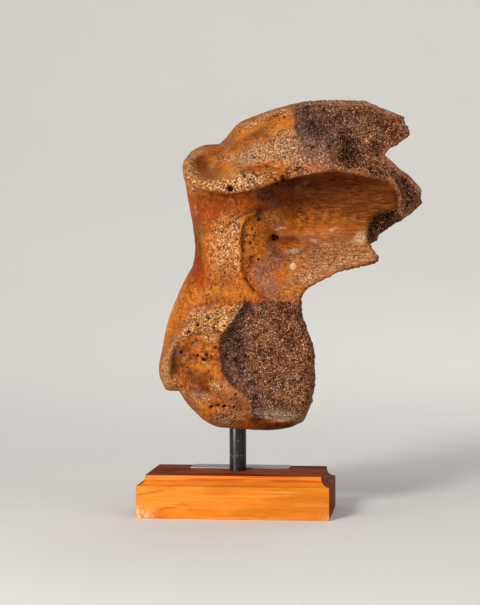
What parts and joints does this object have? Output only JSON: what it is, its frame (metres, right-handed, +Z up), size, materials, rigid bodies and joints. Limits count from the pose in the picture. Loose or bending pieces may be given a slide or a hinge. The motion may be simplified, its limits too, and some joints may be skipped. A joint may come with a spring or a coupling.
{
  "type": "fossil mammoth humerus fragment on a stand",
  "caption": "Broken joint end of a fossil mammoth humerus, with porous break faces and a narrow neck, held upright by a black steel rod in a coved wooden base with a blank label plate.",
  "frame": {"origin": "middle of the base's flat underside, on the rod's axis", "axes": "+Z up along the rod, +X to the right and -Y to the front as the object is shown"},
  "size_m": [0.2634, 0.1133, 0.3907],
  "materials": {
    "fossil_bone": "satin mineralised bone, orange brown where whole, grey brown and porous where broken",
    "black_steel": "satin black paint with small chips",
    "oiled_wood": "oiled honey-orange wood, satin",
    "label_metal": "brushed, left blank"
  },
  "bodies": {
    "root": {"humerus": "fossil_bone", "rod": "black_steel", "base": "oiled_wood", "plaque": "label_metal"}
  },
  "joints": []
}
